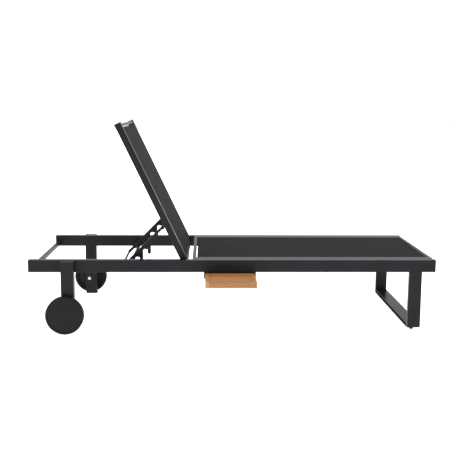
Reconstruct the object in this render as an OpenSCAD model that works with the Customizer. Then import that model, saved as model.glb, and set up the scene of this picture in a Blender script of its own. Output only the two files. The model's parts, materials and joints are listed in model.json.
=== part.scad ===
// Reclining sun lounger: a flat tube frame with a woven sling seat, a hinged sling
// backrest held by a pair of notched prop plates, two wheels at the head end, a U-shaped
// foot leg and a teak tray that slides out sideways under the seat.
// X runs from the head end to the foot end, Z is up, and the tray comes out towards -Y.

/* [Frame] */
// Overall length of the side rails, end caps included
frame_l = 2000; // [1800:10:2300]
// Width over the two side rails
frame_w = 750; // [680:10:900]
// Height of the top of the side rails above the floor
seat_h = 351; // [320:1:420]
// Height of a side rail
rail_h = 60; // [56:1:75]
// Width of a side rail
rail_w = 34; // [30:1:40]
// Wall of the frame tubes
tube_t = 2.5; // [2:0.25:3.5]
// Outer corner radius of the frame tubes
tube_r = 2; // [1:0.5:2]
// Thickness of a rail end cap's visible flange
cap_t = 3; // [2:0.5:5]
// How far a plastic cap's plug reaches into its tube
plug_l = 18; // [12:1:25]

/* [Legs] */
// Width of a head leg along the lounger
head_leg_w = 63; // [45:1:70]
// Depth of a head leg across the lounger
head_leg_d = 40; // [34:1:50]
// Distance from the head end to the middle of a head leg
head_leg_in = 195; // [160:1:260]
// Gap under a head leg
head_leg_gap = 3; // [3:0.5:15]
// Width of the flat foot leg tube along the lounger
foot_leg_w = 64; // [50:1:70]
// Thickness of the flat foot leg tube
foot_leg_t = 20; // [16:1:26]
// Distance from the foot end to the near side of the foot leg
foot_leg_in = 66; // [50:1:160]
// Outer radius of the foot leg's bottom corners
foot_corner_r = 9; // [5:1:12]
// Height of a foot glide below the foot leg
glide_h = 8; // [6:1:16]
// Diameter of a foot glide
glide_d = 20; // [16:1:30]

/* [Wheels] */
// Diameter of a wheel over its tyre
wheel_d = 185; // [150:1:200]
// Width of a wheel
wheel_w = 38; // [30:1:46]
// Thickness of the tyre
tyre_t = 11; // [8:1:14]
// Distance from the head leg's outer face to the wheel
wheel_gap = 5; // [3:0.5:8]
// How far the wheel's axle sits behind the middle of the head leg
axle_back = 11; // [0:0.5:12]
// Diameter of the wheel axle
axle_d = 12; // [10:0.5:14]

/* [Backrest] */
// Distance from the hinge to the top end of the backrest
back_reach = 749; // [700:1:800]
// Length of the backrest below its hinge
back_tail = 17; // [15:0.5:20]
// Thickness of a backrest side rail
back_t = 32; // [30:0.5:36]
// Width of a backrest side rail
back_rail_w = 30; // [28:1:34]
// Side gap between a backrest rail and the frame rail
back_side_gap = 12; // [9:0.5:16]
// Angle of the raised backrest above the level
back_angle = 64.4; // [55:0.1:70]
// Distance from the head end of the frame to the backrest lying flat
head_clear = 13; // [10:1:20]
// Diameter of the hinge pins
hinge_d = 12; // [10:0.5:12]
// Depth that the backrest sling lies below the front of its rails
back_recess = 3; // [2.5:0.5:4]

/* [Seat] */
// Distance from the hinge to the head end of the seat
hinge_to_seat = 37.5; // [34:0.5:45]
// Width of a seat side tube
seat_tube_w = 50; // [40:1:56]
// Height of a seat side tube
seat_tube_h = 25; // [22:1:28]
// Depth that the seat sling lies below the top of its tubes
seat_recess = 1.5; // [1:0.25:2.5]
// Width of the bars that close the seat at its two ends
seat_bar_w = 17; // [14:0.5:22]
// Open slot between a sling's end and the bar beside it
sling_slot = 6; // [4:0.5:8]
// Thickness of the sling fabric
sling_t = 1.5; // [1:0.25:2]
// Side of the square crossbars under the seat
seat_cross = 24; // [20:1:25]

/* [Prop] */
// Distance from the backrest hinge to the prop's pivot
prop_pivot = 202.5; // [198:0.5:207]
// Distance from the middle of the lounger to each notched plate
prop_y = 260; // [200:1:280]
// Thickness of a notched plate
prop_t = 8; // [4:0.5:10]
// Angle of the notched plates below the level with the backrest raised
prop_angle = 45.3; // [45:0.1:46]
// Distance between two notches
notch_pitch = 56; // [54:0.5:57]
// Width of a notch
notch_w = 23; // [20:0.5:24]
// Diameter of the fixed bar that the notches hook over
rest_bar_d = 16; // [12:0.5:16]
// Diameter of the prop's pivot rod and of its tie rod
prop_rod_d = 12; // [10:0.5:14]

/* [Tray] */
// Width of the tray along the lounger
tray_w = 243; // [200:1:300]
// Length of the tray across the lounger
tray_l = 330; // [280:5:340]
// Thickness of the tray
tray_t = 28; // [24:0.5:30]
// How far the tray is drawn out past the side rail
tray_out = 191; // [60:1:200]
// Width of the tray's rim boards
rim_w = 18; // [15:1:26]
// Depth of the hollow inside the rim
tray_dish = 6; // [5:0.5:9]
// Length of the tray's hollow, from the front board to the divider
tray_hollow = 138; // [100:1:160]
// Distance from the middle of the lounger to the middle of the tray, towards the head
tray_x = 16; // [0:1:60]
// Gap between the side rails and the top of the tray
tray_drop = 6; // [4:0.5:10]
// Thickness of a tray runner
runner_t = 6; // [5:0.5:8]

/* [Hidden] */
$fn = 48;
side = [-1, 1];                          // right-hand side (-Y) and left-hand side (+Y)
run_clear = 0.05;                        // radial clearance of a turning fit
face_clear = 0.4;                        // clearance between faces that turn past each other
half_l = frame_l / 2;
half_w = frame_w / 2;
rail_in = half_w - rail_w;               // inner face of a side rail
rail_base = seat_h - rail_h;             // underside of the side rails

// Track that holds a sling's edge: a round channel with a slot to the tube's inner side
track_d = 6;
track_in = 5.5;                          // from the tube's inner side to the channel's middle
track_wall = 1.5;
track_play = 0.2;

// Head legs and wheels
head_leg_x = -half_l + head_leg_in;
head_leg_top = seat_h - 5;
leg_cap_t = 3;
axle_x = head_leg_x - axle_back;
axle_z = wheel_d / 2;
wheel_y = half_w + head_leg_d + wheel_gap;  // inner face of a wheel
wheel_r = wheel_d / 2;
rim_r = wheel_r - tyre_t;
rim_wall = 6;
hub_bush_t = 4;
hub_bush_r = axle_d / 2 + hub_bush_t;
cover_t = 4;
cover_plate = 3;
cover_dome = 3;
cover_r = rim_r - 2;
rim_top = wheel_w - cover_dome;              // outer edge of the rim, where the cover sits
hub_end = rim_top - cover_t;                 // outer end of the axle, under the cover
axle_head_d = 18;
axle_head_t = 5;
clip_t = 2;
clip_z = hub_end - 4;                        // outer end of the hub

// Foot leg
foot_x1 = half_l - foot_leg_in;
foot_x0 = foot_x1 - foot_leg_w;
foot_top = glide_h + foot_leg_t;
glide_x = (foot_x0 + foot_x1) / 2 - 9;
glide_y = half_w - 14;                   // from the middle of the lounger to a glide
glide_stem = tube_t + 4;                 // how far a glide's stem reaches up into the leg's base

// Backrest
hinge_x = -half_l + head_clear + back_reach;
hinge_z = seat_h - back_t / 2;
back_out = rail_in - back_side_gap;      // outer face of a backrest rail
back_in = back_out - back_rail_w;        // inner face of a backrest rail
back_cap_t = 3;
hinge_bush_t = 2;
hinge_flange_t = 3;
hinge_flange_d = hinge_d + 12;
hinge_pin_in = 18;                       // how far a hinge pin reaches into its backrest rail
top_bar_s = 14;                          // width of the bar at the top of the backrest
top_bar_step = 6;                        // how far that bar lies below the rails' ends
low_bar_s = 17;
low_bar_end = 15;                        // how far the bottom bar reaches past the hinge
back_bar_t = 24;
sling_top = back_reach - top_bar_step - top_bar_s - sling_slot;
sling_low = low_bar_s - low_bar_end + sling_slot;
back_sling_y = back_in + track_in - track_d / 2;
back_sling_m = back_t / 2 - back_recess; // front of the backrest sling
head_bar_w = 25;
head_bar_h = 15;
head_bar_in = 6.5;
pad_t = 1.5;
head_bar_top = seat_h - back_t - pad_t - face_clear;

// Seat
seat_x0 = hinge_x + hinge_to_seat;
seat_x1 = half_l - 2;
seat_sling_y = rail_in - seat_tube_w + track_in - track_d / 2;
seat_cross_top = seat_h - seat_tube_h;
seat_sling_x0 = seat_x0 + seat_bar_w + sling_slot;
seat_sling_x1 = seat_x1 - seat_bar_w - sling_slot;
cross_inset = 40;

// Prop: a = distance along the plate from its pivot, b = distance towards its fingers
prop_x = hinge_x - prop_pivot * cos(back_angle);
prop_z = hinge_z + prop_pivot * sin(back_angle);
prop_boss_r = 9.5;
neck_w = 13;
plate_top = -10;                         // b of the plate's straight back edge
plate_low = 13;                          // b of the notch tops
rest_bar_rise = 0.46;                    // from the underside of the rails to the fixed bar's own
rest_bar_b = plate_low + 4.3;
rest_bar_z = rail_base + rest_bar_rise + rest_bar_d / 2;
rest_bar_a = (prop_z - rest_bar_z - rest_bar_b * cos(prop_angle)) / sin(prop_angle);
rest_bar_x = prop_x - rest_bar_a * cos(prop_angle) + rest_bar_b * sin(prop_angle);
notch_a0 = rest_bar_a - 2.95 * notch_pitch;  // a of the first notch's centre
notch_b = plate_low + notch_w / 2 * cos(45);
notch_n = 3;
finger_w = notch_pitch * sin(45) - notch_w;
finger_l = 25;                           // from the notch centre line to the centre of a finger's tip
finger_a0 = notch_a0 - notch_pitch / 2;
seat_play = 0.8;                         // play around the fixed bar in the plate's end seat
tie_a = rest_bar_a + 52;
tie_b = -2;
tail_w = 15;
collar_t = 8;
collar_d = prop_rod_d + 8;

// Tray
tray_top = rail_base - tray_drop;
tray_y0 = -half_w - tray_out;            // outer end of the tray
tray_y1 = tray_y0 + tray_l;
tray_base_t = 9;
divider_w = 42;
tongue_w = 5;
tongue_h = 4;
tray_play = 0.5;
runner_low = tray_top - tray_t + 1;
tongue_z = tray_top - tray_t / 2;
runner_in = tray_w / 2 + tray_play;
stow_stop = 12;
stow_lip = 6;                            // how far the tray's front stands out when stowed
stow_travel = tray_out - stow_lip;
runner_screw_d = 4;
runner_screw_head_d = 5.5;
screw_head_t = 2;
rim_screw_d = 4;
rim_screw_l = 34;

// Shift that centres the whole object's box on the origin with the tray drawn out
wheel_reach = wheel_y + wheel_w;
mid_y = (half_w + tray_out - wheel_reach) / 2;

// ---- shared shapes ----

// Everything is drawn about the lounger's own middle plane and moved here once
module placed() { translate([0, mid_y, 0]) children(); }

// Rectangle with round corners, centred
module round_rect(w, h, r) {
    square([w - 2 * r, h], center = true);
    square([w, h - 2 * r], center = true);
    for (x = side, y = side)
        translate([x * (w / 2 - r), y * (h / 2 - r)]) circle(r);
}

module tube_section(w, h) {
    difference() {
        round_rect(w, h, tube_r);
        square([w - 2 * tube_t, h - 2 * tube_t], center = true);
    }
}

// Section of a tube with a sling track: inner side at x = 0, sling side at y = 0, body below
module track_hollow(w, h, deep) {
    block_w = track_in + track_d / 2 + track_wall;
    block_h = deep + track_d + track_wall;
    difference() {
        translate([tube_t, -h + tube_t]) square([w - 2 * tube_t, h - 2 * tube_t]);
        translate([0, -block_h]) square([block_w, block_h]);
    }
}
module track_section(w, h, deep) {
    difference() {
        translate([w / 2, -h / 2]) round_rect(w, h, tube_r);
        track_hollow(w, h, deep);
        translate([track_in, -deep - track_d / 2]) circle(d = track_d + 0.4);
        translate([-1, -deep - sling_t - track_play]) square([track_in + 1, sling_t + 2 * track_play]);
    }
}

// Extrusions along X, Y and Z; the section's first axis is Y, X and X
module along_x(x0, x1) {
    translate([x0, 0, 0]) rotate([90, 0, 90]) linear_extrude(height = x1 - x0) children();
}
module along_y(y0, y1) {
    translate([0, y1, 0]) rotate([90, 0, 0]) linear_extrude(height = y1 - y0) children();
}
module along_z(z0, z1) {
    translate([0, 0, z0]) linear_extrude(height = z1 - z0) children();
}

module rod_y(d, y0, y1) { translate([0, y1, 0]) rotate([90, 0, 0]) cylinder(d = d, h = y1 - y0); }

// A backrest piece is drawn lying flat with the hinge at the origin, then raised
module on_back() {
    placed() translate([hinge_x, 0, hinge_z]) rotate([0, back_angle, 0]) children();
}

// A prop piece is drawn with a along X, b along Y and its thickness along Z
module on_prop(y) {
    placed() translate([prop_x, y, prop_z]) rotate([90, 0, 0]) rotate(180 + prop_angle) children();
}

// ---- frame ----

module side_rail(s) {
    color("#37383a") placed() translate([0, s * (half_w - rail_w / 2), seat_h - rail_h / 2])
        difference() {
            along_x(-half_l + cap_t, half_l - cap_t) tube_section(rail_w, rail_h);
            translate([hinge_x, 0, hinge_z - seat_h + rail_h / 2])
                rod_y(hinge_d, min(0, -s * rail_w), max(0, -s * rail_w));
            for (x = [-1, 1])
                translate([-tray_x + x * (runner_in + runner_t / 2), 0, -rail_h])
                    cylinder(d = runner_screw_d, h = rail_h);
        }
}
module side_rail_right() { side_rail(-1); }
module side_rail_left() { side_rail(1); }

module rail_end_caps() {
    color("#232425") placed() for (e = side, s = side)
        translate([0, s * (half_w - rail_w / 2), seat_h - rail_h / 2]) {
            x = e * (half_l - cap_t);
            along_x(min(x, x + e * cap_t), max(x, x + e * cap_t)) round_rect(rail_w, rail_h, tube_r);
            along_x(min(x, x - e * plug_l), max(x, x - e * plug_l))
                square([rail_w - 2 * tube_t, rail_h - 2 * tube_t], center = true);
        }
}

module head_bar() {
    color("#3c3d3f") placed()
        translate([-half_l + head_bar_in + head_bar_w / 2, 0, head_bar_top - head_bar_h / 2])
            along_y(-rail_in, rail_in) tube_section(head_bar_w, head_bar_h);
}

module rest_pads() {
    pad_w = back_rail_w - 6;
    color("#1c1c1d") placed() for (s = side)
        translate([-half_l + head_bar_in + 2, s * (back_in + back_rail_w / 2) - pad_w / 2, head_bar_top])
            cube([head_bar_w - 4, pad_w, pad_t]);
}

module rest_bar() {
    color("#3c3d3f") placed() translate([rest_bar_x, 0, rest_bar_z]) rod_y(rest_bar_d, -rail_in, rail_in);
}

module head_leg(s) {
    color("#37383a") placed() difference() {
        translate([head_leg_x, s * (half_w + head_leg_d / 2), 0])
            along_z(head_leg_gap + leg_cap_t, head_leg_top) tube_section(head_leg_w, head_leg_d);
        translate([axle_x, s * (half_w + head_leg_d / 2), axle_z])
            rod_y(axle_d, -head_leg_d, head_leg_d);
    }
}
module head_leg_right() { head_leg(-1); }
module head_leg_left() { head_leg(1); }

module head_leg_caps() {
    color("#232425") placed() for (s = side)
        translate([head_leg_x, s * (half_w + head_leg_d / 2), 0]) {
            along_z(head_leg_top, head_leg_top + leg_cap_t) round_rect(head_leg_w, head_leg_d, tube_r);
            along_z(head_leg_top - plug_l, head_leg_top)
                square([head_leg_w - 2 * tube_t, head_leg_d - 2 * tube_t], center = true);
            along_z(head_leg_gap, head_leg_gap + leg_cap_t) round_rect(head_leg_w, head_leg_d, tube_r);
            along_z(head_leg_gap + leg_cap_t, head_leg_gap + leg_cap_t + plug_l)
                square([head_leg_w - 2 * tube_t, head_leg_d - 2 * tube_t], center = true);
        }
}

module foot_leg(s) {
    color("#37383a") placed() translate([(foot_x0 + foot_x1) / 2, s * (half_w - foot_leg_t / 2), 0])
        along_z(foot_top, rail_base) tube_section(foot_leg_w, foot_leg_t);
}
module foot_leg_right() { foot_leg(-1); }
module foot_leg_left() { foot_leg(1); }

// Bottom of the U, with round outer corners and a hole for each glide's stem
module foot_leg_base() {
    stem_d = glide_d / 2;
    color("#37383a") placed() difference() {
        along_x(foot_x0, foot_x1) difference() {
            union() {
                translate([-half_w, glide_h + foot_corner_r])
                    square([frame_w, foot_leg_t - foot_corner_r]);
                translate([-half_w + foot_corner_r, glide_h])
                    square([frame_w - 2 * foot_corner_r, foot_corner_r]);
                for (s = side)
                    translate([s * (half_w - foot_corner_r), glide_h + foot_corner_r])
                        circle(foot_corner_r);
            }
            translate([-half_w + foot_leg_t, glide_h + tube_t])
                square([frame_w - 2 * foot_leg_t, foot_leg_t - 2 * tube_t]);
        }
        for (s = side)
            translate([glide_x, s * glide_y, glide_h - 1])
                cylinder(d = stem_d, h = 1 + glide_stem);
    }
}

module foot_glides() {
    stem_d = glide_d / 2;
    edge = 2;
    color("#1c1c1d") placed() for (s = side)
        translate([glide_x, s * glide_y, 0]) {
            cylinder(d1 = glide_d - 2 * edge, d2 = glide_d, h = edge);
            translate([0, 0, edge]) cylinder(d = glide_d, h = glide_h - edge);
            cylinder(d = stem_d, h = glide_h + glide_stem);
        }
}

// ---- seat ----

module seat_tube(s) {
    color("#333436") placed() mirror([0, s < 0 ? 1 : 0, 0]) translate([0, rail_in - seat_tube_w, seat_h])
        along_x(seat_x0 + seat_bar_w, seat_x1 - seat_bar_w)
            track_section(seat_tube_w, seat_tube_h, seat_recess);
}
module seat_tube_right() { seat_tube(-1); }
module seat_tube_left() { seat_tube(1); }

module seat_bar(x) {
    color("#3c3d3f") placed() translate([x + seat_bar_w / 2, 0, seat_h - seat_cross / 2])
        along_y(-rail_in, rail_in) tube_section(seat_bar_w, seat_cross);
}
module seat_head_bar() { seat_bar(seat_x0); }
module seat_foot_bar() { seat_bar(seat_x1 - seat_bar_w); }

module seat_crossbars() {
    x0 = seat_x0 + seat_bar_w + cross_inset;
    x1 = seat_x1 - seat_bar_w - cross_inset;
    color("#3c3d3f") placed() for (x = [x0, (x0 + x1) / 2, x1])
        translate([x, 0, seat_cross_top - seat_cross / 2])
            along_y(-rail_in, rail_in) tube_section(seat_cross, seat_cross);
}

module seat_sling() {
    color("#353538") placed() translate([seat_sling_x0, -seat_sling_y, seat_h - seat_recess - sling_t])
        cube([seat_sling_x1 - seat_sling_x0, 2 * seat_sling_y, sling_t]);
}

// Rods inside the sling's hems, lying in the tracks
module seat_splines() {
    color("#cfcfca") placed() for (s = side)
        translate([0, s * (seat_sling_y + track_d / 2), seat_h - seat_recess - track_d / 2])
            along_x(seat_sling_x0, seat_sling_x1) circle(d = track_d);
}

// ---- backrest hinge ----

module hinge_pins() {
    color("#9a9b9d") placed() for (s = side) {
        y = s * (rail_in + tube_t + 6);
        translate([hinge_x, 0, hinge_z])
            rod_y(hinge_d, min(y, s * (back_out - hinge_pin_in)), max(y, s * (back_out - hinge_pin_in)));
    }
}

module hinge_spacers() {
    y0 = back_out + hinge_flange_t + face_clear;
    color("#c9c7c0") placed() for (s = side) translate([hinge_x, 0, hinge_z]) difference() {
        rod_y(hinge_flange_d, min(s * y0, s * rail_in), max(s * y0, s * rail_in));
        rod_y(hinge_d, -half_w, half_w);
    }
}

module hinge_bushes() {
    hole = hinge_d + 2 * run_clear;
    color("#c9c7c0") on_back() for (s = side) {
        y0 = s * (back_out - hinge_pin_in);
        y1 = s * back_out;
        y2 = s * (back_out + hinge_flange_t);
        difference() {
            union() {
                rod_y(hinge_d + 2 * hinge_bush_t, min(y0, y1), max(y0, y1));
                rod_y(hinge_flange_d, min(y1, y2), max(y1, y2));
            }
            rod_y(hole, -half_w, half_w);
        }
    }
}

// ---- backrest ----

module back_rail(s) {
    y = s * (back_out - back_rail_w / 2);
    color("#37383a") on_back() difference() {
        mirror([0, s < 0 ? 1 : 0, 0]) translate([0, back_in, back_t / 2])
            along_x(-back_reach + back_cap_t, back_tail - back_cap_t)
                track_section(back_rail_w, back_t, back_recess);
        rod_y(hinge_d + 2 * hinge_bush_t, min(y, s * half_w), max(y, s * half_w));
        translate([-prop_pivot, 0, 0]) rod_y(prop_rod_d, min(0, y), max(0, y));
    }
}
module back_rail_right() { back_rail(-1); }
module back_rail_left() { back_rail(1); }

module back_rail_caps() {
    plug = back_tail - back_cap_t - hinge_d / 2 - hinge_bush_t - 1;
    color("#232425") on_back() for (s = side)
        mirror([0, s < 0 ? 1 : 0, 0]) translate([0, back_in, back_t / 2]) {
            along_x(-back_reach, -back_reach + back_cap_t)
                translate([back_rail_w / 2, -back_t / 2]) round_rect(back_rail_w, back_t, tube_r);
            along_x(-back_reach + back_cap_t, -back_reach + plug_l)
                track_hollow(back_rail_w, back_t, back_recess);
            along_x(back_tail - back_cap_t, back_tail)
                translate([back_rail_w / 2, -back_t / 2]) round_rect(back_rail_w, back_t, tube_r);
            along_x(back_tail - back_cap_t - plug, back_tail - back_cap_t)
                track_hollow(back_rail_w, back_t, back_recess);
        }
}

module back_top_bar() {
    color("#37383a") on_back() translate([-back_reach + top_bar_step + top_bar_s / 2, 0, 0])
        along_y(-back_in, back_in) tube_section(top_bar_s, back_bar_t);
}

module back_low_bar() {
    color("#37383a") on_back() translate([low_bar_end - low_bar_s / 2, 0, 0])
        along_y(-back_in, back_in) tube_section(low_bar_s, back_bar_t);
}

module back_sling() {
    color("#3f4043") on_back() translate([-sling_top, -back_sling_y, back_sling_m - sling_t])
        cube([sling_top - sling_low, 2 * back_sling_y, sling_t]);
}

module back_splines() {
    color("#cfcfca") on_back() for (s = side)
        translate([0, s * (back_sling_y + track_d / 2), back_sling_m - track_d / 2])
            along_x(-sling_top, -sling_low) circle(d = track_d);
}

// ---- prop ----

module prop_pivot_rod() {
    y = back_in + tube_t + 4;
    color("#9a9b9d") on_back() translate([-prop_pivot, 0, 0]) rod_y(prop_rod_d, -y, y);
}

module prop_collars() {
    color("#232425") on_back() for (s = side, e = side)
        translate([-prop_pivot, s * prop_y + e * (prop_t / 2 + face_clear + collar_t / 2), 0]) difference() {
            rod_y(collar_d, -collar_t / 2, collar_t / 2);
            rod_y(prop_rod_d, -collar_t, collar_t);
        }
}

// Strip of width w from one point, turned by ang, l long, with a round end inside its corners
module strip(x, y, ang, l, w) {
    translate([x, y]) rotate(ang) {
        translate([0, -w / 2]) square([l, w]);
        translate([l, 0]) circle(d = w - 1);
    }
}

// The fingers are a little too wide as drawn; the slots between them cut them to width
module prop_outline() {
    neck_b = plate_top + neck_w;
    body_end = rest_bar_a + 10;
    tail_low = tie_b + tail_w / 2;
    root = 10;
    difference() {
        union() {
            circle(prop_boss_r);
            polygon([[0, plate_top + 2], [25, plate_top], [body_end, plate_top],
                     [tie_a, tie_b - tail_w / 2], [tie_a, tail_low], [body_end + 14, tail_low],
                     [body_end, plate_low], [finger_a0 - finger_w, plate_low],
                     [finger_a0 - 26, neck_b], [0, neck_b]]);
            translate([tie_a, tie_b]) circle(prop_boss_r - 0.5);
            translate([finger_a0, plate_low - 1])
                square([notch_n * notch_pitch, notch_b - plate_low + 1]);
            for (i = [0 : notch_n - 1])
                strip(finger_a0 + i * notch_pitch - root, notch_b - root, 45,
                      finger_l + root * sqrt(2), finger_w + 1);
            translate([finger_a0 + notch_n * notch_pitch, notch_b]) circle(d = finger_w + 1);
        }
        for (i = [0 : notch_n - 1]) {
            translate([notch_a0 + i * notch_pitch, notch_b]) circle(d = notch_w + 0.6);
            strip(notch_a0 + i * notch_pitch, notch_b, 45, 3 * finger_l, notch_w);
        }
        translate([rest_bar_a, rest_bar_b]) circle(d = rest_bar_d + 2 * seat_play);
    }
}

module prop_plate(s) {
    color("#2c2d2f") on_prop(s * prop_y) difference() {
        linear_extrude(height = prop_t, center = true) prop_outline();
        cylinder(d = prop_rod_d + 2 * run_clear, h = 2 * prop_t, center = true);
        translate([tie_a, tie_b, 0]) cylinder(d = prop_rod_d, h = 2 * prop_t, center = true);
    }
}
module prop_plate_right() { prop_plate(-1); }
module prop_plate_left() { prop_plate(1); }

module prop_tie_rod() {
    color("#3c3d3f") on_prop(0) translate([tie_a, tie_b, 0])
        cylinder(d = prop_rod_d, h = 2 * prop_y + prop_t, center = true);
}

// ---- wheels ----

// A wheel piece is drawn about its axle with the leg's side at Z = 0 and its face upwards
module on_axle(s) {
    placed() translate([axle_x, s * wheel_y, axle_z]) rotate([-s * 90, 0, 0]) children();
}

module wheel(s) {
    web = 8;
    hub_r = hub_bush_r + 6;
    color("#2f3033") on_axle(s) difference() {
        union() {
            cylinder(r = hub_r, h = clip_z);
            translate([0, 0, wheel_w / 2 - web / 2]) cylinder(r = rim_r - 1, h = web);
            difference() {
                translate([0, 0, 2]) cylinder(r = rim_r, h = rim_top - 2);
                translate([0, 0, -1]) cylinder(r = rim_r - rim_wall, h = wheel_w + 2);
            }
        }
        translate([0, 0, -1]) cylinder(r = hub_bush_r, h = wheel_w);
    }
}
module wheel_right() { wheel(-1); }
module wheel_left() { wheel(1); }

module tyre(s) {
    shoulder = 6;
    color("#1b1b1c") on_axle(s) rotate_extrude($fn = 96) difference() {
        union() {
            translate([rim_r, 0]) square([tyre_t - shoulder, wheel_w]);
            translate([rim_r, shoulder]) square([tyre_t, wheel_w - 2 * shoulder]);
            for (z = [shoulder, wheel_w - shoulder]) translate([wheel_r - shoulder, z]) circle(shoulder);
        }
        translate([0, -1]) square([rim_r, wheel_w + 2]);
    }
}
module tyre_right() { tyre(-1); }
module tyre_left() { tyre(1); }

module wheel_bush(s) {
    color("#c9c7c0") on_axle(s) difference() {
        cylinder(r = hub_bush_r, h = clip_z);
        translate([0, 0, -1]) cylinder(d = axle_d + 2 * run_clear, h = wheel_w);
    }
}
module wheel_bush_right() { wheel_bush(-1); }
module wheel_bush_left() { wheel_bush(1); }

// Smooth cover that clips into the rim: a shallow dome over a plate with a locating ring
module wheel_cover(s) {
    ring_t = 3;
    ring_h = 4;
    inner = rim_r - rim_wall;
    color("#2c2d30") on_axle(s) rotate_extrude() {
        translate([0, rim_top - cover_plate]) square([inner, cover_plate]);
        translate([inner - ring_t, rim_top - cover_plate - ring_h]) square([ring_t, ring_h]);
        polygon([[0, rim_top], [cover_r, rim_top], [cover_r, rim_top + 0.2 * cover_dome],
                 [0.7 * cover_r, rim_top + 0.6 * cover_dome],
                 [0.3 * cover_r, rim_top + 0.95 * cover_dome], [0, wheel_w]]);
    }
}
module wheel_cover_right() { wheel_cover(-1); }
module wheel_cover_left() { wheel_cover(1); }

module axle(s) {
    color("#b8b9bb") on_axle(s) {
        translate([0, 0, -wheel_gap - head_leg_d])
            cylinder(d = axle_d, h = wheel_gap + head_leg_d + hub_end);
        translate([0, 0, -wheel_gap - head_leg_d - axle_head_t]) cylinder(d = axle_head_d, h = axle_head_t);
    }
}
module axle_right() { axle(-1); }
module axle_left() { axle(1); }

module axle_clips() {
    color("#b8b9bb") for (s = side) on_axle(s) translate([0, 0, clip_z + face_clear]) difference() {
        cylinder(d = axle_d + 8, h = clip_t);
        translate([0, 0, -1]) cylinder(d = axle_d, h = clip_t + 2);
    }
}

module axle_spacers() {
    color("#c9c7c0") for (s = side) on_axle(s) translate([0, 0, -wheel_gap]) difference() {
        cylinder(d = 2 * hub_bush_r, h = wheel_gap - face_clear);
        translate([0, 0, -1]) cylinder(d = axle_d, h = wheel_gap + 1);
    }
}

// ---- tray ----

module tray_runner(e) {
    x0 = -tray_x + e * runner_in;
    color("#232425") placed() difference() {
        union() {
            translate([min(x0, x0 + e * runner_t), -half_w, runner_low])
                cube([runner_t, frame_w, rail_base - runner_low]);
            translate([min(x0, x0 - e * tongue_w), -half_w, tongue_z - tongue_h / 2])
                cube([tongue_w, frame_w, tongue_h]);
        }
        for (s = side) translate([x0 + e * runner_t / 2, s * (half_w - rail_w / 2), runner_low - 1]) {
            cylinder(d = runner_screw_d, h = rail_h);
            cylinder(d = runner_screw_head_d, h = 1 + screw_head_t);
        }
    }
}
module tray_runner_head() { tray_runner(-1); }
module tray_runner_foot() { tray_runner(1); }

module runner_screws() {
    color("#b8b9bb") placed() for (e = side, s = side)
        translate([-tray_x + e * (runner_in + runner_t / 2), s * (half_w - rail_w / 2), runner_low]) {
            cylinder(d = runner_screw_d, h = rail_base - runner_low + tube_t + 4);
            cylinder(d = runner_screw_head_d, h = screw_head_t);
        }
}

// Blocks on the runners that the rear of the tray meets when it is pushed home
module tray_stops() {
    block = 14;
    color("#1c1c1d") placed() for (e = side)
        translate([-tray_x + e * (runner_in - block / 2) - block / 2, tray_y1 + stow_travel + 1,
                   tongue_z + tongue_h / 2])
            cube([block, stow_stop, rail_base - tray_drop - tongue_z - tongue_h / 2]);
}

// The grooves that the runners' tongues slide in, stopped short of the tray's front
module tongue_grooves() {
    w = 2 * (tongue_w + tray_play);
    h = tongue_h + 2 * tray_play;
    for (e = side) translate([-tray_x + e * tray_w / 2 - w / 2, tray_y0 + stow_lip - 1, tongue_z - h / 2])
        cube([w, tray_l, h]);
}

module tray_base() {
    color("#b98a5c") placed() difference() {
        translate([-tray_x - tray_w / 2 + rim_w, tray_y0 + rim_w, tray_top - tray_dish - tray_base_t])
            cube([tray_w - 2 * rim_w, tray_l - 2 * rim_w, tray_base_t]);
        tongue_grooves();
    }
}

module tray_divider() {
    color("#b98a5c") placed()
        translate([-tray_x - tray_w / 2 + rim_w, tray_y0 + rim_w + tray_hollow, tray_top - tray_dish])
            cube([tray_w - 2 * rim_w, divider_w, tray_dish]);
}

// Board across the tray's end: butted to the head side board, mitred to the foot side board
module tray_end(y, dir) {
    w = tray_w / 2;
    color("#c08f5e") placed() difference() {
        translate([-tray_x, y, tray_top - tray_t]) linear_extrude(height = tray_t)
            polygon([[-w + rim_w, 0], [w, 0], [w - rim_w, dir * rim_w], [-w + rim_w, dir * rim_w]]);
        tongue_grooves();
        tray_screw_holes();
    }
}
module tray_front() { tray_end(tray_y0, 1); }
module tray_rear() { tray_end(tray_y1, -1); }

module tray_side(e) {
    cut = e > 0 ? rim_w : 0;
    color("#c4935f") placed() difference() {
        translate([-tray_x + e * tray_w / 2, 0, tray_top - tray_t]) linear_extrude(height = tray_t)
            polygon([[0, tray_y0], [0, tray_y1], [-e * rim_w, tray_y1 - cut], [-e * rim_w, tray_y0 + cut]]);
        tongue_grooves();
        tray_screw_holes();
    }
}
module tray_side_head() { tray_side(-1); }
module tray_side_foot() { tray_side(1); }

// Screws from each side board into the end boards
module tray_screw_places() {
    for (e = side, y = [tray_y0 + rim_w / 2, tray_y1 - rim_w / 2])
        translate([-tray_x + e * (tray_w / 2), y, tray_top - tray_t + 5]) rotate([0, -e * 90, 0]) children();
}
module tray_screw_holes() {
    tray_screw_places() cylinder(d = rim_screw_d, h = rim_screw_l);
}
module tray_screws() {
    color("#b8b9bb") placed() tray_screw_places() cylinder(d = rim_screw_d, h = rim_screw_l);
}

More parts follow.
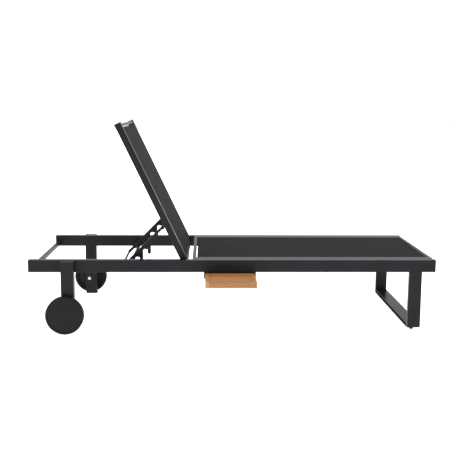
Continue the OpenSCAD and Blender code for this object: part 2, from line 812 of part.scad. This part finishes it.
side_rail_right();
side_rail_left();
rail_end_caps();
head_bar();
rest_pads();
rest_bar();
head_leg_right();
head_leg_left();
head_leg_caps();
foot_leg_right();
foot_leg_left();
foot_leg_base();
foot_glides();
seat_tube_right();
seat_tube_left();
seat_head_bar();
seat_foot_bar();
seat_crossbars();
seat_sling();
seat_splines();
hinge_pins();
hinge_spacers();
axle_right();
axle_left();
axle_clips();
axle_spacers();
tray_runner_head();
tray_runner_foot();
runner_screws();
tray_stops();
back_rail_right();
back_rail_left();
back_rail_caps();
back_top_bar();
back_low_bar();
back_sling();
back_splines();
hinge_bushes();
prop_pivot_rod();
prop_collars();
prop_plate_right();
prop_plate_left();
prop_tie_rod();
wheel_right();
wheel_left();
tyre_right();
tyre_left();
wheel_bush_right();
wheel_bush_left();
wheel_cover_right();
wheel_cover_left();
tray_base();
tray_divider();
tray_front();
tray_rear();
tray_side_head();
tray_side_foot();
tray_screws();
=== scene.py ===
"""A reclining sun lounger: flat aluminium tube frame, woven sling seat and hinged sling backrest,
notched prop plates, two wheels at the head end and a teak tray drawn out under the seat.
The file follows the object as it is put together: frame, seat, backrest, hinge, prop, wheels, tray."""
import json
import math

import bpy
import numpy as np
from mathutils import Matrix, Vector


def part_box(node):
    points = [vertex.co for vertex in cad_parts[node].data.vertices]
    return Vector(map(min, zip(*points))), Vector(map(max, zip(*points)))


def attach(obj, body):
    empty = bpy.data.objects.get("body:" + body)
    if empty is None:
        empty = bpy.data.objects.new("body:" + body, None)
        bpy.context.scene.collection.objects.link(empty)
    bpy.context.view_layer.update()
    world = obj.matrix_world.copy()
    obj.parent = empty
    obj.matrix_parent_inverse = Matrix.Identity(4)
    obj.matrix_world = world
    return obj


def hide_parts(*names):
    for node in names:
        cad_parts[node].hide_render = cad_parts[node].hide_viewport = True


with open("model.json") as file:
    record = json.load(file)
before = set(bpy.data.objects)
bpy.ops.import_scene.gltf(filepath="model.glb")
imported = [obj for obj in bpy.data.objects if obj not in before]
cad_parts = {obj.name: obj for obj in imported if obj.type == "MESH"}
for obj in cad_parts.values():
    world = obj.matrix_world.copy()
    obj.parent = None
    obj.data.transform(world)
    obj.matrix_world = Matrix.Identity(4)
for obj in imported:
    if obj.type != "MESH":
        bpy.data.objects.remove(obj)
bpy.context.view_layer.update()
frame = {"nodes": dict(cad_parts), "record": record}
NODES = frame["nodes"]
middle_y = (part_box("side_rail_right")[0].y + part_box("side_rail_left")[1].y) / 2

# ---- camera ----
# A long lens a little above the seat, almost square to the lounger's side.
camera_at = Vector((-0.135, middle_y - 4.097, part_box("side_rail_right")[1].z + 0.752))
camera_yaw, camera_pitch, camera_roll = math.radians(1.54), math.radians(8.92), math.radians(0.32)
ahead = Vector((math.sin(camera_yaw) * math.cos(camera_pitch),
                math.cos(camera_yaw) * math.cos(camera_pitch), -math.sin(camera_pitch)))
across = Vector((math.cos(camera_yaw), -math.sin(camera_yaw), 0))
upward = across.cross(ahead)
right = math.cos(camera_roll) * across + math.sin(camera_roll) * upward
top = math.cos(camera_roll) * upward - math.sin(camera_roll) * across
camera_data = bpy.data.cameras.new("camera")
camera_data.lens = 61.8
camera_data.shift_x = -0.0008
camera_data.shift_y = 0.0010
camera_data.sensor_width = 36
camera = bpy.data.objects.new("camera", camera_data)
camera.matrix_world = Matrix((
    (right.x, top.x, -ahead.x, camera_at.x),
    (right.y, top.y, -ahead.y, camera_at.y),
    (right.z, top.z, -ahead.z, camera_at.z),
    (0, 0, 0, 1)))
bpy.context.collection.objects.link(camera)
bpy.context.scene.camera = camera


# ---- frame: rails, legs and bars ----
# Extruded tube welded into one frame and powder coated charcoal. The coat has a fine orange-peel
# relief, slight mottling and a satin surface.

def new_material(name, roughness, metallic=0.0):
    """A material with only its shader; returns the material, its nodes, links and the shader."""
    material = bpy.data.materials.new(name)
    material.use_nodes = True
    nodes, links = material.node_tree.nodes, material.node_tree.links
    shader = nodes["Principled BSDF"]
    shader.inputs["Roughness"].default_value = roughness
    shader.inputs["Metallic"].default_value = metallic
    return material, nodes, links, shader


def object_place(nodes, links, scale):
    """The point in the object's own metres, multiplied by scale along X, Y and Z."""
    place = nodes.new("ShaderNodeTexCoord")
    mapping = nodes.new("ShaderNodeMapping")
    mapping.inputs["Scale"].default_value = scale
    links.new(place.outputs["Object"], mapping.inputs["Vector"])
    return mapping.outputs["Vector"]


def noise(nodes, links, place, scale, detail=3.0, rough=0.5):
    """Noise texture of that scale at that place; returns its factor."""
    texture = nodes.new("ShaderNodeTexNoise")
    texture.inputs["Scale"].default_value = scale
    texture.inputs["Detail"].default_value = detail
    texture.inputs["Roughness"].default_value = rough
    links.new(place, texture.inputs["Vector"])
    return texture.outputs["Fac"]


def ramp(nodes, links, factor, stops):
    """Colour ramp through stops of (position, colour)."""
    mapped = nodes.new("ShaderNodeValToRGB")
    while len(mapped.color_ramp.elements) < len(stops):
        mapped.color_ramp.elements.new(0.5)
    for element, (position, colour) in zip(mapped.color_ramp.elements, stops):
        element.position = position
        element.color = (*colour, 1)
    links.new(factor, mapped.inputs["Fac"])
    return mapped.outputs["Color"]


def to_range(nodes, links, value, low, high):
    """A 0 to 1 value moved to the range low to high."""
    mapped = nodes.new("ShaderNodeMapRange")
    mapped.inputs["To Min"].default_value = low
    mapped.inputs["To Max"].default_value = high
    links.new(value, mapped.inputs["Value"])
    return mapped.outputs["Result"]


def bump(nodes, links, shader, height, distance, strength=1.0):
    """Surface relief of that height in metres on the shader."""
    relief = nodes.new("ShaderNodeBump")
    relief.inputs["Distance"].default_value = distance
    relief.inputs["Strength"].default_value = strength
    links.new(height, relief.inputs["Height"])
    links.new(relief.outputs["Normal"], shader.inputs["Normal"])


def give(material, *names):
    """Each named CAD node takes this material."""
    for name in names:
        NODES[name].data.materials.clear()
        NODES[name].data.materials.append(material)


paint, nodes, links, shader = new_material("powder_coat", 0.36)
shader.inputs["Specular IOR Level"].default_value = 0.13
place = object_place(nodes, links, (1, 1, 1))
mottle = noise(nodes, links, place, 9, 4)
grain = noise(nodes, links, place, 900, 2)
links.new(ramp(nodes, links, mottle, [(0.3, (0.0085, 0.0092, 0.0110)), (0.7, (0.0112, 0.0120, 0.0142))]),
          shader.inputs["Base Color"])
links.new(to_range(nodes, links, grain, 0.26, 0.38), shader.inputs["Roughness"])
bump(nodes, links, shader, grain, 0.00005, 0.25)
give(paint, "side_rail_right", "side_rail_left", "head_bar", "rest_bar", "head_leg_right",
     "head_leg_left", "foot_leg_right", "foot_leg_left", "foot_leg_base")

# ---- frame: end caps ----
# Caps pushed into the open ends of the rails and head legs, moulded in black plastic with a fine
# even texture.
plastic, nodes, links, shader = new_material("cap_plastic", 0.5)
shader.inputs["Specular IOR Level"].default_value = 0.12
place = object_place(nodes, links, (1, 1, 1))
grain = noise(nodes, links, place, 1400, 2)
links.new(ramp(nodes, links, noise(nodes, links, place, 30), [
    (0.3, (0.0085, 0.0088, 0.0100)), (0.7, (0.0112, 0.0116, 0.0130))]), shader.inputs["Base Color"])
bump(nodes, links, shader, grain, 0.00015, 0.4)
give(plastic, "rail_end_caps", "head_leg_caps")

# ---- frame: pads and glides ----
# Pads glued on the head bar and glides plugged into the foot leg's base: moulded black rubber
# with a dull, slightly pitted skin.
rubber, nodes, links, shader = new_material("pad_rubber", 0.7)
place = object_place(nodes, links, (1, 1, 1))
grain = noise(nodes, links, place, 700, 3)
links.new(ramp(nodes, links, grain, [(0.3, (0.014, 0.014, 0.014)), (0.7, (0.022, 0.022, 0.022))]),
          shader.inputs["Base Color"])
bump(nodes, links, shader, grain, 0.0002, 0.4)
give(rubber, "rest_pads", "foot_glides")

# ---- seat: tubes, bars and hem rods ----
# Tubes with a track for the sling's edges, welded between bars, in the frame's own coat. The hem
# rods in the tracks are drawn acetal, left its natural off-white.
give(paint, "seat_tube_right", "seat_tube_left", "seat_head_bar", "seat_foot_bar", "seat_crossbars")
bearing, nodes, links, shader = new_material("bearing_plastic", 0.45)
place = object_place(nodes, links, (1, 1, 1))
links.new(ramp(nodes, links, noise(nodes, links, place, 60), [
    (0.3, (0.52, 0.52, 0.49)), (0.7, (0.60, 0.60, 0.57))]), shader.inputs["Base Color"])
bump(nodes, links, shader, noise(nodes, links, place, 1200), 0.0001, 0.3)
give(bearing, "seat_splines")

# ---- seat: sling ----
# Open basket weave of coated polyester yarn, stretched between the tracks. Each thread is a raised
# rounded ridge, and warp and weft pass over each other by turns. The holes between them are painted
# dark: painted shade on a closed sheet.
THREAD = 0.0016


def surface(name, points, faces, material, body):
    """A smooth piece from arrays of points and of faces, riding on a body."""
    mesh = bpy.data.meshes.new(name)
    mesh.from_pydata(points.tolist(), [], faces.tolist())
    mesh.validate()
    mesh.update()
    mesh.polygons.foreach_set("use_smooth", np.ones(len(mesh.polygons), bool))
    mesh.materials.append(material)
    piece = bpy.data.objects.new(name, mesh)
    bpy.context.collection.objects.link(piece)
    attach(piece, body)
    return piece


def grid_faces(rows, columns):
    """Quads of a rows by columns grid of points. Each goes from a point to the next in its row,
    across to the next row, and back to the point below the first."""
    corner = np.arange((rows - 1) * columns).reshape(rows - 1, columns)[:, :-1].ravel()
    return np.stack([corner, corner + 1, corner + columns + 1, corner + columns], axis=1)


def sling_material(name, gap_shade, light):
    """Woven sling, its threads laid along the two axes of its UV map, in metres."""
    material, nodes, links, shader = new_material(name, 0.85)
    shader.inputs["Specular IOR Level"].default_value = 0.10
    uv = nodes.new("ShaderNodeUVMap")
    uv.uv_map = "cloth"
    split = nodes.new("ShaderNodeSeparateXYZ")
    links.new(uv.outputs["UV"], split.inputs["Vector"])
    waves = []
    for axis in ("X", "Y"):
        turn = nodes.new("ShaderNodeMath")
        turn.operation = "MULTIPLY"
        turn.inputs[1].default_value = math.pi / THREAD
        links.new(split.outputs[axis], turn.inputs[0])
        wave = nodes.new("ShaderNodeMath")
        wave.operation = "SINE"
        links.new(turn.outputs["Value"], wave.inputs[0])
        waves.append(wave.outputs["Value"])
    over = nodes.new("ShaderNodeMath")
    over.operation = "MULTIPLY"
    links.new(waves[0], over.inputs[0])
    links.new(waves[1], over.inputs[1])
    height = nodes.new("ShaderNodeMath")
    height.operation = "ABSOLUTE"
    links.new(over.outputs["Value"], height.inputs[0])
    long_place = object_place(nodes, links, (1, 1, 1))
    slub = noise(nodes, links, long_place, 160, 3)
    cloud = noise(nodes, links, long_place, 5, 3)
    # The low parts between the threads take the first, dark colour: painted shade in the weave's holes.
    tone = ramp(nodes, links, height.outputs["Value"], [(0.05, gap_shade), (0.75, light)])
    shade = nodes.new("ShaderNodeMix")
    shade.data_type = "RGBA"
    shade.blend_type = "MULTIPLY"
    shade.inputs["Factor"].default_value = 1.0
    links.new(tone, shade.inputs[6])
    mixed = nodes.new("ShaderNodeMath")
    mixed.operation = "MULTIPLY"
    links.new(slub, mixed.inputs[0])
    links.new(cloud, mixed.inputs[1])
    links.new(ramp(nodes, links, mixed.outputs["Value"], [(0.12, (0.86, 0.86, 0.86)), (0.4, (1, 1, 1))]),
              shade.inputs[7])
    links.new(shade.outputs[2], shader.inputs["Base Color"])
    bump(nodes, links, shader, height.outputs["Value"], 0.0005, 0.6)
    return material


def sling_piece(name, body, material, low, high, width, place, node):
    """Thin closed sheet over the parameters s (along) from low to high and y (across) of that
    width. place turns (s, y, depth) into a point: the front is at depth 0, the rear at depth
    sheet_t, and quads round the rim join them. The UV is (s, y) in metres."""
    sheet_t = 0.0012
    count_s, count_y = 161, 81
    s, y = np.meshgrid(np.linspace(low, high, count_s), np.linspace(-width / 2, width / 2, count_y),
                       indexing="ij")
    points = np.concatenate([place(s, y, depth * np.ones_like(s)).reshape(-1, 3)
                             for depth in (0, sheet_t)])
    total = count_s * count_y
    index = np.arange(total).reshape(count_s, count_y)
    front_faces = grid_faces(count_s, count_y)
    rear_faces = front_faces[:, ::-1] + total
    rim = np.concatenate([index[0, :-1], index[:-1, -1], index[-1, :0:-1], index[:0:-1, 0]])
    after = np.roll(rim, -1)
    rim_faces = np.stack([after, rim, rim + total, after + total], axis=1)
    piece = surface(name, points, np.concatenate([front_faces, rear_faces, rim_faces]), material,
                    body)
    layer = piece.data.uv_layers.new(name="cloth")
    flat = np.concatenate([np.stack([s, y], -1).reshape(-1, 2)] * 2)
    corners = np.empty(len(piece.data.loops), int)
    piece.data.loops.foreach_get("vertex_index", corners)
    layer.data.foreach_set("uv", flat[corners].ravel())
    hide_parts(node)


seat_low, seat_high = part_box("seat_sling")
# The first colour is painted shade for the holes between the threads. The second is the threads' own
# colour.
seat_cloth = sling_material("seat_weave", (0.010, 0.010, 0.0112), (0.028, 0.028, 0.031))


def on_seat(s, y, depth):
    """Along the lounger, across it and down from the sling's top."""
    return np.stack([s, y + middle_y, seat_high.z - depth], -1)


sling_piece("seat_sling_cloth", "frame", seat_cloth, seat_low.x, seat_high.x,
            seat_high.y - seat_low.y, on_seat, "seat_sling")

# ---- backrest: rails, bars and caps ----
# Two track rails joined by a bar at each end, coated as the frame is, with plastic caps on the
# rails' ends and hem rods in their tracks.
give(paint, "back_rail_right", "back_rail_left", "back_top_bar", "back_low_bar")
give(plastic, "back_rail_caps")
give(bearing, "back_splines")

# ---- backrest: sling ----
# The seat's cloth again, painted a shade paler as painted light where the backrest faces the light,
# from the bottom bar's slot to the top bar's, laid out along the backrest's lean from its hinge.
joints = {joint["name"]: joint for joint in frame["record"]["behaviour"]["joints"]}
hinge = Vector(joints["back_hinge"]["pos_m"])
lean = math.radians(joints["back_hinge"]["range_deg"][1])
up_back = np.array([-math.cos(lean), 0, math.sin(lean)])
out_front = np.array([math.sin(lean), 0, math.cos(lean)])
back_co = np.array([v.co for v in NODES["back_sling"].data.vertices]) - np.array(hinge)
back_s = back_co @ up_back
back_m = back_co @ out_front
back_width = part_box("back_sling")[1].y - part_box("back_sling")[0].y
# The seat's cloth painted paler: painted light on the backrest. Its first colour is again painted shade
# in the holes.
back_cloth_painted_lighter = sling_material("back_weave_painted_lighter", (0.012, 0.012, 0.0132), (0.036, 0.036, 0.040))


def on_back(s, y, depth):
    """Up the backrest from its hinge, across it and back from the sling's front."""
    out = back_m.max() - depth
    return (np.array(hinge) + s[..., None] * up_back + out[..., None] * out_front
            + y[..., None] * np.array([0, 1, 0]))


sling_piece("back_sling_cloth", "backrest", back_cloth_painted_lighter, back_s.min(), back_s.max(),
            back_width, on_back, "back_sling")

# ---- backrest hinge ----
# Bare stainless pins turned to size, so fine rings run round them. They are fixed in the side
# rails, and the backrest's flanged bushes turn on them, with a spacer ring on each.
steel, nodes, links, shader = new_material("bare_steel", 0.3, 1.0)
place = object_place(nodes, links, (60, 900, 60))
lines = noise(nodes, links, place, 3, 3)
links.new(ramp(nodes, links, lines, [(0.3, (0.42, 0.42, 0.43)), (0.7, (0.58, 0.58, 0.59))]),
          shader.inputs["Base Color"])
links.new(to_range(nodes, links, lines, 0.22, 0.38), shader.inputs["Roughness"])
bump(nodes, links, shader, lines, 0.00005, 0.3)
give(steel, "hinge_pins")
give(bearing, "hinge_bushes", "hinge_spacers")

# ---- prop ----
# Two notched plates cut from flat bar and joined by a tie rod, coated as the frame is. They turn
# on a rod across the backrest, between plastic collars.
give(paint, "prop_plate_right", "prop_plate_left", "prop_tie_rod", "prop_pivot_rod")
give(plastic, "prop_collars")

# ---- wheels ----
# The wheel's centre and the smooth cover clipped into it are charcoal plastic, and the tyre is a
# solid ring of softer black rubber. Each wheel's acetal bush turns on a clipped steel axle.
wheel_skin, nodes, links, shader = new_material("wheel_plastic", 0.45)
shader.inputs["Specular IOR Level"].default_value = 0.12
place = object_place(nodes, links, (1, 1, 1))
grain = noise(nodes, links, place, 1000, 2)
links.new(ramp(nodes, links, noise(nodes, links, place, 14), [
    (0.3, (0.0085, 0.0088, 0.0104)), (0.7, (0.0110, 0.0114, 0.0134))]), shader.inputs["Base Color"])
bump(nodes, links, shader, grain, 0.00015, 0.35)
give(wheel_skin, "wheel_right", "wheel_left", "wheel_cover_right", "wheel_cover_left")

tyre_skin, nodes, links, shader = new_material("tyre_rubber", 0.62)
shader.inputs["Specular IOR Level"].default_value = 0.15
place = object_place(nodes, links, (1, 1, 1))
grain = noise(nodes, links, place, 500, 3)
links.new(ramp(nodes, links, grain, [(0.3, (0.0080, 0.0080, 0.0090)), (0.7, (0.0110, 0.0110, 0.0122))]),
          shader.inputs["Base Color"])
bump(nodes, links, shader, grain, 0.0002, 0.4)
give(tyre_skin, "tyre_right", "tyre_left")
give(steel, "axle_right", "axle_left", "axle_clips")
give(bearing, "axle_spacers", "wheel_bush_right", "wheel_bush_left")

# ---- tray ----
# Oiled teak: rim boards round a thinner panel and divider, screwed from the sides. It slides in
# plastic runners screwed under the rails, as far as rubber stops.

def teak(name, stretch, tint):
    """Teak with its grain along the axis where stretch is smallest: wavy growth lines, fine
    pores and slow changes of colour."""
    material, nodes, links, shader = new_material(name, 0.55)
    place = object_place(nodes, links, stretch)
    warp = noise(nodes, links, place, 1.2, 3)
    lines = nodes.new("ShaderNodeTexWave")
    lines.wave_type = "BANDS"
    lines.bands_direction = "DIAGONAL"
    lines.inputs["Scale"].default_value = 1.1
    lines.inputs["Distortion"].default_value = 5.0
    lines.inputs["Detail"].default_value = 3.0
    links.new(place, lines.inputs["Vector"])
    pores = noise(nodes, links, place, 14, 4, 0.7)
    wood = ramp(nodes, links, lines.outputs["Fac"], [
        (0.15, tuple(0.80 * c for c in tint)), (0.6, tint), (0.95, tuple(1.12 * c for c in tint))])
    shade = nodes.new("ShaderNodeMix")
    shade.data_type = "RGBA"
    shade.blend_type = "MULTIPLY"
    shade.inputs["Factor"].default_value = 1.0
    links.new(wood, shade.inputs[6])
    links.new(ramp(nodes, links, pores, [(0.35, (0.80, 0.76, 0.70)), (0.55, (1, 1, 1))]), shade.inputs[7])
    tone = nodes.new("ShaderNodeMix")
    tone.data_type = "RGBA"
    tone.blend_type = "MULTIPLY"
    tone.inputs["Factor"].default_value = 1.0
    links.new(shade.outputs[2], tone.inputs[6])
    links.new(ramp(nodes, links, warp, [(0.3, (0.90, 0.87, 0.84)), (0.7, (1.05, 1.02, 1.0))]),
              tone.inputs[7])
    links.new(tone.outputs[2], shader.inputs["Base Color"])
    links.new(to_range(nodes, links, pores, 0.5, 0.66), shader.inputs["Roughness"])
    bump(nodes, links, shader, pores, 0.0002, 0.4)
    return material


# The front and rear boards are the same teak painted darker than the panel and sides: painted shade on
# the boards' faces.
front_wood_painted_shade = teak("teak_front_painted_shade", (6, 60, 60), (0.34, 0.155, 0.043))
panel_wood = teak("teak_panel", (6, 60, 60), (0.52, 0.240, 0.074))
side_wood = teak("teak_side", (60, 6, 60), (0.50, 0.240, 0.080))
give(front_wood_painted_shade, "tray_front", "tray_rear")
give(panel_wood, "tray_base", "tray_divider")
give(side_wood, "tray_side_head", "tray_side_foot")
give(plastic, "tray_runner_head", "tray_runner_foot")
give(rubber, "tray_stops")
give(steel, "runner_screws", "tray_screws")

# ---- floor and light: a white studio ----
# A shadowless white floor that glows a little, an even white surround, and one large softbox
# overhead that lightens the tops of the rails.
floor_mesh = bpy.data.meshes.new("floor")
floor_mesh.from_pydata([(-30, -30, 0), (30, -30, 0), (30, 30, 0), (-30, 30, 0)], [], [(0, 1, 2, 3)])
floor = bpy.data.objects.new("floor", floor_mesh)
bpy.context.collection.objects.link(floor)
floor_skin, nodes, links, shader = new_material("floor_white", 0.9)
shader.inputs["Base Color"].default_value = (1, 1, 1, 1)
shader.inputs["Emission Color"].default_value = (1, 1, 1, 1)
shader.inputs["Emission Strength"].default_value = 1.0
floor_mesh.materials.append(floor_skin)

world = bpy.data.worlds.new("studio")
bpy.context.scene.world = world
world.use_nodes = True
nodes, links = world.node_tree.nodes, world.node_tree.links
nodes["Background"].inputs["Color"].default_value = (1, 1, 1, 1)
nodes["Background"].inputs["Strength"].default_value = 1.0
bpy.context.scene.view_settings.view_transform = "Standard"


def softbox(name, at, size, power):
    """A square area light at that place, aimed at the seat."""
    data = bpy.data.lights.new(name, "AREA")
    data.energy = power
    data.size = size
    lamp = bpy.data.objects.new(name, data)
    lamp.location = at
    lamp.rotation_euler = (Vector((0, 0, 0.3)) - Vector(at)).to_track_quat("-Z", "Y").to_euler()
    bpy.context.collection.objects.link(lamp)


softbox("overhead", (-0.5, 0.6, 3.4), 2.6, 20)
